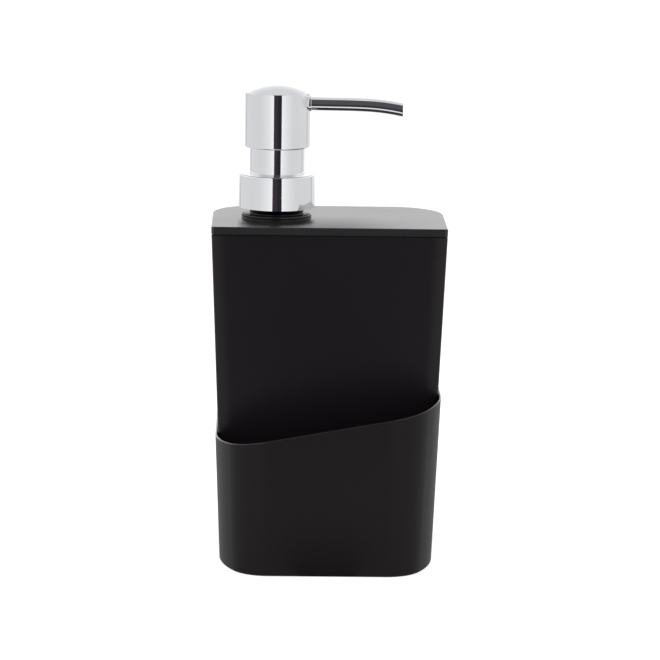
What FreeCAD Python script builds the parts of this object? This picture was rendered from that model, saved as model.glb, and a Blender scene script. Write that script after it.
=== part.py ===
import FreeCAD, Part
import Sketcher
import math
import os

# Soap pump caddy: a tapered cup with a slanted rim holds a flat-fronted soap bottle at its back
# and leaves a sponge slot in front. A metal lotion pump is screwed to the bottle's lid.
# Lengths are millimetres, angles degrees. +Z is up, the front is -Y, and the origin is on the
# table under the middle of the cup.

doc = FreeCAD.newDocument("SoapPumpCaddy")
sheet = doc.addObject("Spreadsheet::Sheet", "sizes")

drivingSizes = {
    # the cup's plan at the table, and the draft that all tapered walls share
    "cupHalfWidth": 46.6,
    "cupHalfDepth": 47.4,
    "frontCornerRadius": 16.8,
    "sideCornerRadius": 51.2,
    "rearCornerRadius": 17.8,
    "cornerTurn": 61.5,
    "draftAngle": 2.3,
    # cup
    "cupWall": 0.9,
    "cupFloor": 2.5,
    "rimHeight": 64.8,
    "rimSlope": 10.36,
    "rimRound": 0.3,
    "baseRound": 0.8,
    "stopHeight": 4.0,
    "stopThickness": 1.6,
    "stopGap": 0.3,
    "stopEndGap": 6.0,
    # non-slip pad under the cup
    "padThickness": 1.2,
    "padRecess": 1.0,
    "padInset": 2.5,
    "padGap": 0.15,
    # bottle
    "bottleGap": 0.25,
    "frontSetback": 33.0,
    "bottleWall": 1.8,
    "bottleFloor": 2.2,
    "frontEdgeRound": 1.2,
    "innerEdgeRound": 0.5,
    "bottleBaseRound": 1.0,
    # lid with its neck
    "lidHeight": 147.0,
    "lidBand": 3.3,
    "sealThickness": 0.45,
    "sealInset": 0.6,
    "lidPlate": 2.0,
    "lidSkirt": 4.6,
    "lidSkirtWall": 1.4,
    "lidSkirtGap": 0.2,
    "lidEdgeRound": 0.6,
    "pumpOffset": 23.05,
    "ringRadius": 15.4,
    "ringHeight": 1.8,
    "ringRound": 0.6,
    "neckRadius": 11.8,
    "neckWall": 1.8,
    "neckHeight": 12.6,
    # closure
    "gasketThickness": 0.8,
    "gasketBore": 9.0,
    "flangeThickness": 1.0,
    "flangeRadius": 12.6,
    "insertRadius": 15.85,
    "threadRadius": 12.9,
    "threadFit": 0.1,
    "insertRoof": 1.8,
    "insertLift": 0.3,
    "collarLift": 4.6,
    "collarBaseRadius": 16.95,
    "collarTopRadius": 16.6,
    "collarWall": 0.7,
    "collarRound": 0.5,
    "sleeveRadius": 12.1,
    "sleeveWall": 0.8,
    "sleeveGap": 0.35,
    "collarHoleGap": 0.1,
    "sleeveFoot": 2.4,
    "sleeveFootRadius": 14.8,
    "sleeveReach": 2.3,
    # pump barrel with its inlet valve and dip tube
    "housingDrop": 62.0,
    "barrelBore": 7.2,
    "barrelWall": 1.3,
    "barrelConeRise": 4.0,
    "barrelConeLift": 0.5,
    "spigotRadius": 9.3,
    "spigotRise": 5.4,
    "spigotGap": 0.15,
    "tubeRadius": 3.2,
    "tubeWall": 0.9,
    "tubeFit": 0.05,
    "socketDepth": 10.0,
    "socketWall": 1.75,
    "throatRadius": 1.3,
    "throatLength": 3.6,
    "chamberRadius": 3.3,
    "inletBallRadius": 2.5,
    "ballLift": 1.3,
    "ballGap": 0.06,
    "tubeFloorGap": 4.0,
    "tubeCutAngle": 40.0,
    # ball cage, which is also the spring's lower seat
    "cageGap": 0.1,
    "cageThickness": 1.8,
    "cageBossRadius": 5.2,
    "cageBossHeight": 2.0,
    "cageBossWall": 1.4,
    "cagePortRadius": 0.9,
    "cagePortCircle": 2.4,
    "cagePortCount": 4,
    # barrel cap that guides the stem
    "capSkirtWall": 1.05,
    "capSkirtDepth": 3.0,
    "capRoof": 2.2,
    "capPlugGap": 0.1,
    "capPlugLength": 15.8,
    "capRecess": 4.0,
    "capRecessRadius": 5.3,
    "capRound": 0.4,
    "stemFit": 0.08,
    # piston, stem and foot
    "pistonTopGap": 0.1,
    "pistonLength": 10.0,
    "pistonLip": 1.6,
    "pistonFit": 0.05,
    "pistonWaist": 0.7,
    "stemRadius": 3.9,
    "stemBore": 2.1,
    "stemShoulderRadius": 4.9,
    "stemShoulder": 3.0,
    "outletThroat": 1.3,
    "outletThroatLength": 2.0,
    "outletRimRadius": 2.8,
    "outletBallRadius": 2.2,
    "footRadius": 6.4,
    "footThickness": 1.8,
    "footBossRadius": 5.2,
    "footBossHeight": 2.5,
    "footPlug": 4.0,
    "footBore": 1.2,
    # return spring
    "springWire": 0.45,
    "springRadius": 6.0,
    "springTurns": 7,
    "springEndTurns": 1,
    "springEndPitch": 1.4,
    "springSeatGap": 0.08,
    "springKnotCount": 4,
    "springPointCount": 8,
    # head
    "strokeLength": 11.0,
    "strokeMargin": 0.7,
    "headRadius": 14.35,
    "headWall": 0.8,
    "headHeight": 24.2,
    "headRoof": 0.6,
    "domeRise": 3.65,
    "headRound": 0.7,
    "shoulderRound": 0.25,
    "coreGap": 0.1,
    "coreClearance": 0.6,
    "hubRadius": 6.5,
    "hubClearance": 1.5,
    "coreSocketDepth": 8.5,
    "coreSocketGap": 0.05,
    "outletChamber": 2.9,
    "corePassage": 1.5,
    # spout
    "spoutHeight": 19.25,
    "spoutSwing": 3.5,
    "spoutRadius": 3.0,
    "spoutWall": 0.7,
    "spoutStart": 6.0,
    "spoutStraight": 29.8,
    "firstBendRadius": 260.0,
    "firstBendTurn": 2.2,
    "tipBendRadius": 95.0,
    "tipBendTurn": 10.0,
    "spoutReach": 55.1,
    "ferruleRadius": 3.45,
    "ferruleStart": 9.0,
    "ferruleReach": 14.9,
    "ferruleRound": 0.25,
    "ferruleGap": 0.05,
    # what cutting tools run past a face
    "overrun": 5.0,
    "matchShare": 0.0002,
}

for row, (alias, size) in enumerate(drivingSizes.items(), start=1):
    sheet.set("A%d" % row, alias)
    sheet.set("B%d" % row, str(size))
    sheet.setAlias("B%d" % row, alias)
doc.recompute()


def number(expression):
    return float(sheet.evalExpression(expression))


def bind(feature, **expressions):
    for name, expression in expressions.items():
        feature.setExpression(name, expression)


# edges are told apart by their places, which match to a small share of the overrun
closeness = number("sizes.overrun") * number("sizes.matchShare")

# Sketches


def sketchOn(body, name, role, offset="0"):
    sketch = body.newObject("Sketcher::SketchObject", name)
    plane = [f for f in body.Origin.OriginFeatures if f.Role == role][0]
    sketch.AttachmentSupport = (plane, [""])
    sketch.MapMode = "FlatFace"
    sketch.setExpression("AttachmentOffset.Base.z", offset)
    return sketch


def dimension(sketch, kind, places, expression):
    angle = kind == "Angle"
    datum = math.radians(number(expression)) if angle else number(expression)
    index = sketch.addConstraint(Sketcher.Constraint(kind, *places, datum))
    formula = "(%s) * 1 deg" % expression if angle else expression
    sketch.setExpression("Constraints[%d]" % index, formula)


def join(sketch, kind, count):
    for i in range(count):
        sketch.addConstraint(Sketcher.Constraint(kind, i, 2, (i + 1) % count, 1))


def circle(centre, radius):
    return Part.Circle(FreeCAD.Vector(*centre, 0), FreeCAD.Vector(0, 0, 1), radius)


def arc(centre, radius, start, end):
    return Part.ArcOfCircle(circle(centre, radius), start, end)


def line(start, end):
    return Part.LineSegment(FreeCAD.Vector(*start, 0), FreeCAD.Vector(*end, 0))


# The plan that cup, bottle, lid, seal and pad share: straight sides, round corners at the back,
# and corners at the front of two tangent arcs, a small one ahead and a large one at the side.
# It grows outwards by one offset all round. With a front, it ends there in a flat face with
# small corners.


def planOutline(sketch, grow, front=None, corner=None):
    across = "sizes.cupHalfWidth + (%s)" % grow
    deep = "sizes.cupHalfDepth + (%s)" % grow
    small = "sizes.frontCornerRadius + (%s)" % grow
    large = "sizes.sideCornerRadius + (%s)" % grow
    rounded = "sizes.rearCornerRadius + (%s)" % grow
    w, d, a, b, r = [number(e) for e in (across, deep, small, large, rounded)]
    half, quarter = math.pi, math.pi / 2
    if front is None:
        turn = math.radians(number("sizes.cornerTurn"))
        frontEnd = w - a * math.sin(turn) - b * (1 - math.sin(turn))
        start = -d + a * (1 - math.cos(turn)) + b * math.cos(turn)
        frontEdges = [
            line((-frontEnd, -d), (frontEnd, -d)),
            arc((frontEnd, a - d), a, -quarter, turn - quarter),
            arc((w - b, start), b, turn - quarter, 0),
        ]
        closing = [
            arc((b - w, start), b, half, half + quarter - turn),
            arc((-frontEnd, a - d), a, half + quarter - turn, half + quarter),
        ]
    else:
        f, c = number(front), number(corner)
        start = f + c
        frontEdges = [
            line((c - w, f), (w - c, f)),
            arc((w - c, start), c, -quarter, 0),
        ]
        closing = [arc((c - w, start), c, half, half + quarter)]
    rearEdges = [
        line((w, start), (w, d - r)),
        arc((w - r, d - r), r, 0, quarter),
        line((w - r, d), (r - w, d)),
        arc((r - w, d - r), r, quarter, half),
        line((-w, d - r), (-w, start)),
    ]
    edges = frontEdges + rearEdges + closing
    for edge in edges:
        sketch.addGeometry(edge, False)
    right = len(frontEdges)
    left = right + len(rearEdges) - 1
    rear = (right + left) // 2
    last = len(edges) - 1
    join(sketch, "Tangent", len(edges))
    for level in (0, rear):
        sketch.addConstraint(Sketcher.Constraint("Horizontal", level))
    for upright in (right, left):
        sketch.addConstraint(Sketcher.Constraint("Vertical", upright))
    pairs = [(right + 1, left - 1, rounded)]
    if front is None:
        pairs += [(1, last, small), (right - 1, left + 1, large)]
        for turned in (1, last):
            dimension(sketch, "Angle", (turned,), "sizes.cornerTurn")
    else:
        pairs += [(1, last, corner)]
    for one, other, size in pairs:
        dimension(sketch, "Radius", (one,), size)
        sketch.addConstraint(Sketcher.Constraint("Equal", one, other))
    dimension(sketch, "DistanceX", (-1, 1, right, 1), across)
    dimension(sketch, "DistanceX", (left, 1, -1, 1), across)
    dimension(sketch, "DistanceY", (-1, 1, rear, 1), deep)
    dimension(sketch, "DistanceY", (0, 1, -1, 1), deep if front is None else "-(%s)" % front)


def drafted(grow, height):
    return "(%s) + (%s) * tan(sizes.draftAngle)" % (grow, height)


def planLoft(body, kind, name, grow, bottom, top, front=None, corner=None):
    sketches = []
    for end, height in (("High", top), ("Low", bottom)):
        sketch = sketchOn(body, name + end, "XY_Plane", height)
        planOutline(sketch, drafted(grow, height), front, corner)
        sketches.append(sketch)
    doc.recompute()
    loft = body.newObject(kind, name)
    loft.Profile = sketches[0]
    loft.Sections = [sketches[1]]
    loft.Ruled = True
    doc.recompute()
    return loft


def planPad(body, kind, name, grow, bottom, depth):
    sketch = sketchOn(body, name + "Plan", "XY_Plane", bottom)
    planOutline(sketch, grow)
    doc.recompute()
    pad = body.newObject(kind, name)
    pad.Profile = sketch
    bind(pad, Length=depth)
    doc.recompute()
    return pad


# Outlines by the coordinates of their corners, for turned profiles and for cuts. A side whose
# number is domed is an arc with its centre on the upright axis.


def cornerOutline(sketch, corners, domed=None):
    count = len(corners)
    places = [(number(across), number(up)) for across, up in corners]
    for i, start in enumerate(places):
        end = places[(i + 1) % count]
        if i == domed:
            rise = end[1] - start[1]
            radius = (start[0] ** 2 + rise**2) / (rise + rise)
            middle = end[1] - radius
            lean = math.atan2(start[1] - middle, start[0])
            sketch.addGeometry(arc((0, middle), radius, lean, math.pi / 2), False)
        else:
            sketch.addGeometry(line(start, end), False)
    join(sketch, "Coincident", count)
    for i, (across, up) in enumerate(corners):
        for kind, expression, place, axis in (
            ("DistanceX", across, places[i][0], -2),
            ("DistanceY", up, places[i][1], -1),
        ):
            if place == 0:
                sketch.addConstraint(Sketcher.Constraint("PointOnObject", i, 1, axis))
            elif place > 0:
                dimension(sketch, kind, (-1, 1, i, 1), expression)
            else:
                dimension(sketch, kind, (i, 1, -1, 1), "-(%s)" % expression)
    if domed is not None:
        sketch.addConstraint(Sketcher.Constraint("PointOnObject", domed, 3, -2))


def newBody(label):
    body = doc.addObject("PartDesign::Body", label)
    body.Label = label
    return body


def revolve(body, corners, domed=None, kind="PartDesign::Revolution", name="Turned", axis="V_Axis"):
    sketch = sketchOn(body, name + "Profile", "XZ_Plane")
    cornerOutline(sketch, corners, domed)
    doc.recompute()
    turned = body.newObject(kind, name)
    turned.Profile = sketch
    turned.ReferenceAxis = (sketch, [axis])
    turned.Angle = 360
    doc.recompute()
    return turned


def roundEdges(body, name, size, wanted):
    """Fillets the edges of the body's tip for which wanted(edge) is true."""
    doc.recompute()
    tip = body.Tip
    names = ["Edge%d" % (i + 1) for i, edge in enumerate(tip.Shape.Edges) if wanted(edge)]
    fillet = body.newObject("PartDesign::Fillet", name)
    fillet.Base = (tip, names)
    bind(fillet, Radius=size)
    doc.recompute()
    return fillet


def isRing(edge, radius, height):
    """A circle about the upright axis of this radius at this height."""
    if edge.Degenerated or not isinstance(edge.Curve, Part.Circle):
        return False
    curve = edge.Curve
    near = abs(curve.Radius - number(radius)) < closeness
    return near and abs(curve.Center.z - number(height)) < closeness


def liesAt(edge, height):
    return all(abs(vertex.Z - number(height)) < closeness for vertex in edge.Vertexes)


# Places that more than one piece uses

baseLevel = "sizes.padThickness - sizes.padRecess"
cupFloorTop = baseLevel + " + sizes.cupFloor"
bottleFloorTop = cupFloorTop + " + sizes.bottleFloor"
bottleGrow = "-sizes.cupWall - sizes.bottleGap"
bottleFront = "sizes.frontSetback - sizes.cupHalfDepth"
tankFront = bottleFront + " + sizes.bottleWall"
tankGrow = bottleGrow + " - sizes.bottleWall"
bandBottom = "sizes.lidHeight - sizes.lidBand"
bottleTop = bandBottom + " - sizes.sealThickness"
lidBack = "sizes.cupHalfDepth + " + drafted(bottleGrow, "sizes.lidHeight")
pumpDepth = "((%s) + (%s)) / 2" % (bottleFront, lidBack)

# Heights above the lid, on the pump's axis

neckTop = "sizes.neckHeight"
gasketTop = neckTop + " + sizes.gasketThickness"
flangeTop = gasketTop + " + sizes.flangeThickness"
insertTop = flangeTop + " + sizes.insertRoof"
footTop = insertTop + " + sizes.sleeveFoot"
collarTop = footTop + " + sizes.collarWall"
headBottom = collarTop + " + sizes.strokeLength + sizes.strokeMargin"
sleeveTop = headBottom + " + sizes.sleeveReach"
spigotTop = flangeTop + " + sizes.spigotRise"
capTop = spigotTop + " + sizes.capRoof"
plugBottom = spigotTop + " - sizes.capPlugLength"
pistonTop = plugBottom + " - sizes.pistonTopGap"
pistonBottom = pistonTop + " - sizes.pistonLength"
coreBottom = sleeveTop + " + sizes.strokeLength + sizes.coreClearance"
coreTop = headBottom + " + sizes.headHeight - sizes.headRoof"
hubBottom = capTop + " + sizes.strokeLength + sizes.hubClearance"
spoutLevel = headBottom + " + sizes.spoutHeight"
ballSeat = "sizes.ballGap * sqrt(2)"

# Heights in the lower end of the pump barrel, above the lid too

barrelBottom = "-sizes.housingDrop"
socketTop = barrelBottom + " + sizes.socketDepth"
throatTop = socketTop + " + sizes.throatLength"
seatTop = throatTop + " + sizes.chamberRadius - sizes.throatRadius"
inletBallCentre = throatTop + " - sizes.throatRadius + sizes.inletBallRadius * sqrt(2) + " + ballSeat
chamberTop = inletBallCentre + " + sizes.inletBallRadius + sizes.ballLift + sizes.ballGap"
cageTop = chamberTop + " + sizes.cageThickness"
barrelRadius = "sizes.barrelBore + sizes.barrelWall"
socketRadius = "sizes.tubeRadius + sizes.tubeFit + sizes.socketWall"
springBottom = cageTop + " + sizes.springSeatGap"

# The outlet ball's seat is in the stem's upper end, its stop is the passage above it

stemTop = hubBottom + " + sizes.coreSocketDepth"
outletBallCentre = stemTop + " - sizes.outletRimRadius + sizes.outletBallRadius * sqrt(2) + " + ballSeat
outletStop = "sqrt(sizes.outletBallRadius * sizes.outletBallRadius - sizes.corePassage * sizes.corePassage)"
outletChamberTop = outletBallCentre + " + sizes.ballLift + sizes.ballGap + " + outletStop


def onPumpAxis(body, height, swung=False):
    bind(
        body,
        **{
            "Placement.Base.x": "-sizes.pumpOffset",
            "Placement.Base.y": pumpDepth,
            "Placement.Base.z": "sizes.lidHeight + (%s)" % height,
        }
    )
    if swung:
        body.setExpression("Placement.Rotation.Angle", "-sizes.spoutSwing * 1 deg")


def above(height):
    """The same height in the frame of the pieces that are placed at the spout's level."""
    return "(%s) - (%s)" % (height, spoutLevel)


# Cup: tapered shell on the full plan, with the pad's recess below, a stop rib on its floor and
# a rim cut by a plane that rises to the right.

cup = newBody("caddy_cup")
cupBlank = "sizes.rimHeight + 2 * sizes.cupHalfWidth * tan(sizes.rimSlope)"
planLoft(cup, "PartDesign::AdditiveLoft", "CupOuter", "0", baseLevel, cupBlank)
roundEdges(cup, "CupBaseRound", "sizes.baseRound", lambda edge: liesAt(edge, baseLevel))
planLoft(
    cup, "PartDesign::SubtractiveLoft", "CupInner", "-sizes.cupWall", cupFloorTop, cupBlank
)
planPad(
    cup,
    "PartDesign::Pocket",
    "PadRecess",
    "sizes.padGap - sizes.padInset",
    "sizes.padThickness",
    "sizes.padThickness",
)
stopBack = bottleFront + " - sizes.stopGap"
stopEnd = "sizes.cupHalfWidth - sizes.cupWall - sizes.stopEndGap"
stopSketch = sketchOn(cup, "StopRibPlan", "XY_Plane", cupFloorTop)
cornerOutline(
    stopSketch,
    [
        ("-(%s)" % stopEnd, "(%s) - sizes.stopThickness" % stopBack),
        (stopEnd, "(%s) - sizes.stopThickness" % stopBack),
        (stopEnd, stopBack),
        ("-(%s)" % stopEnd, stopBack),
    ],
)
doc.recompute()
stopRib = cup.newObject("PartDesign::Pad", "StopRib")
stopRib.Profile = stopSketch
bind(stopRib, Length="sizes.stopHeight")
cutEdge = "2 * sizes.cupHalfWidth"
cutRise = "(%s) * tan(sizes.rimSlope)" % cutEdge
rimSketch = sketchOn(cup, "RimLine", "XZ_Plane")
cornerOutline(
    rimSketch,
    [
        ("-(%s)" % cutEdge, "sizes.rimHeight - %s" % cutRise),
        (cutEdge, "sizes.rimHeight + %s" % cutRise),
        (cutEdge, "(%s) + %s" % (cupBlank, cutRise)),
        ("-(%s)" % cutEdge, "(%s) + %s" % (cupBlank, cutRise)),
    ],
)
doc.recompute()
rimCut = cup.newObject("PartDesign::Pocket", "RimCut")
rimCut.Profile = rimSketch
rimCut.SideType = "Symmetric"
bind(rimCut, Length="4 * sizes.cupHalfDepth")
doc.recompute()


def onRim(edge):
    rise = math.tan(math.radians(number("sizes.rimSlope")))
    level = number("sizes.rimHeight")
    return all(abs(v.Z - level - v.X * rise) < closeness for v in edge.Vertexes)


roundEdges(cup, "RimRound", "sizes.rimRound", onRim)

# Non-slip pad in the cup's recess

pad = newBody("base_pad")
planPad(pad, "PartDesign::Pad", "PadSheet", "-sizes.padInset", "0", "sizes.padThickness")

# Bottle: tapered tank with a flat upright front, open at the top

bottle = newBody("bottle_body")
planLoft(
    bottle,
    "PartDesign::AdditiveLoft",
    "TankOuter",
    bottleGrow,
    cupFloorTop,
    bottleTop,
    bottleFront,
    "sizes.frontEdgeRound",
)
roundEdges(
    bottle, "TankBaseRound", "sizes.bottleBaseRound", lambda edge: liesAt(edge, cupFloorTop)
)
planLoft(
    bottle,
    "PartDesign::SubtractiveLoft",
    "TankInner",
    tankGrow,
    bottleFloorTop,
    bottleTop,
    tankFront,
    "sizes.innerEdgeRound",
)

# Seal between bottle and lid

seal = newBody("lid_seal")
planLoft(
    seal,
    "PartDesign::AdditiveLoft",
    "SealOuter",
    bottleGrow + " - sizes.sealInset",
    bottleTop,
    bandBottom,
    bottleFront + " + sizes.sealInset",
    "sizes.innerEdgeRound",
)
planLoft(
    seal,
    "PartDesign::SubtractiveLoft",
    "SealInner",
    tankGrow,
    bottleTop,
    bandBottom,
    tankFront,
    "sizes.innerEdgeRound",
)

# Lid: plate with an outer band, a skirt inside the bottle's mouth, and the pump's neck

lid = newBody("bottle_lid")
skirtBottom = bandBottom + " - sizes.lidSkirt"
skirtGrow = tankGrow + " - sizes.lidSkirtGap"
skirtFront = tankFront + " + sizes.lidSkirtGap"
planLoft(
    lid,
    "PartDesign::AdditiveLoft",
    "LidBand",
    bottleGrow,
    bandBottom,
    "sizes.lidHeight",
    bottleFront,
    "sizes.frontEdgeRound",
)
roundEdges(
    lid, "LidEdgeRound", "sizes.lidEdgeRound", lambda edge: liesAt(edge, "sizes.lidHeight")
)
planLoft(
    lid,
    "PartDesign::AdditiveLoft",
    "LidSkirt",
    skirtGrow,
    skirtBottom,
    bandBottom,
    skirtFront,
    "sizes.innerEdgeRound",
)
planLoft(
    lid,
    "PartDesign::SubtractiveLoft",
    "LidHollow",
    skirtGrow + " - sizes.lidSkirtWall",
    skirtBottom,
    "sizes.lidHeight - sizes.lidPlate",
    skirtFront + " + sizes.lidSkirtWall",
    "sizes.innerEdgeRound",
)


def neckDisc(kind, name, radius, level, depth):
    """A disc or hole of the lid on the pump's axis, its plane at a height above the lid."""
    sketch = sketchOn(lid, name + "Circle", "XY_Plane", "sizes.lidHeight + (%s)" % level)
    centre = (-number("sizes.pumpOffset"), number(pumpDepth))
    sketch.addGeometry(circle(centre, number(radius)), False)
    dimension(sketch, "DistanceX", (0, 3, -1, 1), "sizes.pumpOffset")
    dimension(sketch, "DistanceY", (-1, 1, 0, 3), pumpDepth)
    dimension(sketch, "Radius", (0,), radius)
    doc.recompute()
    feature = lid.newObject(kind, name)
    feature.Profile = sketch
    bind(feature, Length=depth)
    doc.recompute()
    return feature


neckDisc("PartDesign::Pad", "NeckRing", "sizes.ringRadius", "0", "sizes.ringHeight")
roundEdges(
    lid,
    "NeckRingRound",
    "sizes.ringRound",
    lambda edge: isRing(edge, "sizes.ringRadius", "sizes.lidHeight + sizes.ringHeight"),
)
neckDisc("PartDesign::Pad", "Neck", "sizes.neckRadius", "0", neckTop)
threadBottom = "sizes.collarLift + sizes.insertLift"
threadLength = "sizes.neckHeight - sizes.collarLift - 2 * sizes.insertLift"
neckDisc("PartDesign::Pad", "NeckThread", "sizes.threadRadius", threadBottom, threadLength)
neckBore = "sizes.neckRadius - sizes.neckWall"
neckDisc("PartDesign::Pocket", "NeckBore", neckBore, neckTop, neckTop + " + sizes.lidBand")

# Gasket on the neck

gasket = newBody("neck_gasket")
revolve(
    gasket,
    [
        ("sizes.gasketBore", neckTop),
        ("sizes.neckRadius", neckTop),
        ("sizes.neckRadius", gasketTop),
        ("sizes.gasketBore", gasketTop),
    ],
)
onPumpAxis(gasket, "0")

# Pump barrel: flange on the gasket, spigot for its cap, piston bore, inlet seat and socket

housing = newBody("pump_housing")
socketBore = "sizes.tubeRadius + sizes.tubeFit"
coneTop = chamberTop + " - sizes.barrelConeLift"
revolve(
    housing,
    [
        (socketBore, barrelBottom),
        (socketRadius, barrelBottom),
        (socketRadius, coneTop + " - sizes.barrelConeRise"),
        (barrelRadius, coneTop),
        (barrelRadius, gasketTop),
        ("sizes.flangeRadius", gasketTop),
        ("sizes.flangeRadius", flangeTop),
        ("sizes.spigotRadius", flangeTop),
        ("sizes.spigotRadius", spigotTop),
        ("sizes.barrelBore", spigotTop),
        ("sizes.barrelBore", chamberTop),
        ("sizes.chamberRadius", chamberTop),
        ("sizes.chamberRadius", seatTop),
        ("sizes.throatRadius", throatTop),
        ("sizes.throatRadius", socketTop),
        (socketBore, socketTop),
    ],
)
onPumpAxis(housing, "0")

# Cap on the barrel's spigot, with the long plug that guides the stem

cap = newBody("housing_cap")
skirtBore = "sizes.spigotRadius + sizes.spigotGap"
skirtOuter = skirtBore + " + sizes.capSkirtWall"
plugRadius = "sizes.barrelBore - sizes.capPlugGap"
guideBore = "sizes.stemRadius + sizes.stemFit"
revolve(
    cap,
    [
        (guideBore, capTop),
        (guideBore, plugBottom + " + sizes.capRecess"),
        ("sizes.capRecessRadius", plugBottom + " + sizes.capRecess"),
        ("sizes.capRecessRadius", plugBottom),
        (plugRadius, plugBottom),
        (plugRadius, spigotTop),
        (skirtBore, spigotTop),
        (skirtBore, spigotTop + " - sizes.capSkirtDepth"),
        (skirtOuter, spigotTop + " - sizes.capSkirtDepth"),
        (skirtOuter, capTop),
    ],
)
roundEdges(cap, "CapRound", "sizes.capRound", lambda edge: isRing(edge, skirtOuter, capTop))
onPumpAxis(cap, "0")

# Dip tube, cut off on a slant above the tank's floor

tube = newBody("dip_tube")
tubeBore = "sizes.tubeRadius - sizes.tubeWall"
tubeEnd = bottleFloorTop + " + sizes.tubeFloorGap - sizes.lidHeight"
tubeLength = "(%s) - (%s)" % (socketTop, tubeEnd)
revolve(
    tube,
    [
        (tubeBore, "0"),
        ("sizes.tubeRadius", "0"),
        ("sizes.tubeRadius", tubeLength),
        (tubeBore, tubeLength),
    ],
)
slant = sketchOn(tube, "SlantLine", "XZ_Plane")
slantEnd = "sizes.tubeRadius + sizes.overrun"
cornerOutline(
    slant,
    [
        ("-sizes.tubeRadius", "-sizes.overrun"),
        (slantEnd, "-sizes.overrun"),
        (slantEnd, "(%s + sizes.tubeRadius) * tan(sizes.tubeCutAngle)" % slantEnd),
        ("-sizes.tubeRadius", "0"),
    ],
)
doc.recompute()
slantCut = tube.newObject("PartDesign::Pocket", "SlantCut")
slantCut.Profile = slant
slantCut.SideType = "Symmetric"
bind(slantCut, Length="4 * sizes.tubeRadius")
onPumpAxis(tube, tubeEnd)

# Inlet ball on its seat

inletBall = doc.addObject("Part::Sphere", "inlet_ball")
inletBall.Label = "inlet_ball"
bind(inletBall, Radius="sizes.inletBallRadius")
onPumpAxis(inletBall, inletBallCentre)

# Cage over the inlet ball, which is also the spring's lower seat

cage = newBody("ball_cage")
cageRadius = "sizes.barrelBore - sizes.cageGap"
bossBore = "sizes.cageBossRadius - sizes.cageBossWall"
revolve(
    cage,
    [
        ("0", chamberTop),
        (cageRadius, chamberTop),
        (cageRadius, cageTop),
        ("sizes.cageBossRadius", cageTop),
        ("sizes.cageBossRadius", cageTop + " + sizes.cageBossHeight"),
        (bossBore, cageTop + " + sizes.cageBossHeight"),
        (bossBore, cageTop),
        ("0", cageTop),
    ],
)
portSketch = sketchOn(cage, "PortCircle", "XY_Plane", cageTop)
portCentre = (number("sizes.cagePortCircle"), 0)
portSketch.addGeometry(circle(portCentre, number("sizes.cagePortRadius")), False)
portSketch.addConstraint(Sketcher.Constraint("PointOnObject", 0, 3, -1))
dimension(portSketch, "DistanceX", (-1, 1, 0, 3), "sizes.cagePortCircle")
dimension(portSketch, "Radius", (0,), "sizes.cagePortRadius")
doc.recompute()
port = cage.newObject("PartDesign::Pocket", "Port")
port.Profile = portSketch
bind(port, Length="2 * sizes.cageThickness")
doc.recompute()
ports = cage.newObject("PartDesign::PolarPattern", "Ports")
ports.Originals = [port]
ports.Axis = (portSketch, ["N_Axis"])
ports.Angle = 360
bind(ports, Occurrences="sizes.cagePortCount")
cage.Tip = ports
onPumpAxis(cage, "0")

# Closure: threaded insert, guide sleeve standing on it, and the metal shell over both

insert = newBody("closure_insert")
insertBottom = "sizes.collarLift + sizes.insertLift"
insertBore = "sizes.threadRadius + sizes.threadFit"
insertHole = "sizes.spigotRadius + sizes.sleeveGap"
revolve(
    insert,
    [
        (insertBore, insertBottom),
        ("sizes.insertRadius", insertBottom),
        ("sizes.insertRadius", insertTop),
        (insertHole, insertTop),
        (insertHole, flangeTop),
        (insertBore, flangeTop),
    ],
)
onPumpAxis(insert, "0")

sleeve = newBody("guide_sleeve")
sleeveBore = "sizes.sleeveRadius - sizes.sleeveWall"
revolve(
    sleeve,
    [
        (sleeveBore, insertTop),
        ("sizes.sleeveFootRadius", insertTop),
        ("sizes.sleeveFootRadius", footTop),
        ("sizes.sleeveRadius", footTop),
        ("sizes.sleeveRadius", sleeveTop),
        (sleeveBore, sleeveTop),
    ],
)
onPumpAxis(sleeve, "0")

collar = newBody("collar_shell")
collarHole = "sizes.sleeveRadius + sizes.collarHoleGap"
revolve(
    collar,
    [
        ("sizes.collarBaseRadius - sizes.collarWall", "sizes.collarLift"),
        ("sizes.collarBaseRadius", "sizes.collarLift"),
        ("sizes.collarTopRadius", collarTop),
        (collarHole, collarTop),
        (collarHole, footTop),
        ("sizes.collarTopRadius - sizes.collarWall", footTop),
    ],
)
roundEdges(
    collar,
    "CollarRound",
    "sizes.collarRound",
    lambda edge: isRing(edge, "sizes.collarTopRadius", collarTop),
)
onPumpAxis(collar, "0")

# Piston with a sealing lip at each end

piston = newBody("piston")
pistonRadius = "sizes.barrelBore - sizes.pistonFit"
waistRadius = pistonRadius + " - sizes.pistonWaist"
pistonBore = "sizes.stemRadius + sizes.stemFit"
revolve(
    piston,
    [
        (pistonBore, pistonBottom),
        (pistonRadius, pistonBottom),
        (pistonRadius, pistonBottom + " + sizes.pistonLip"),
        (waistRadius, pistonBottom + " + sizes.pistonLip + sizes.pistonWaist"),
        (waistRadius, pistonTop + " - sizes.pistonLip - sizes.pistonWaist"),
        (pistonRadius, pistonTop + " - sizes.pistonLip"),
        (pistonRadius, pistonTop),
        (pistonBore, pistonTop),
    ],
)
onPumpAxis(piston, "0")

# Stem: hollow, with a shoulder on the piston and the outlet seat in its upper end

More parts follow.
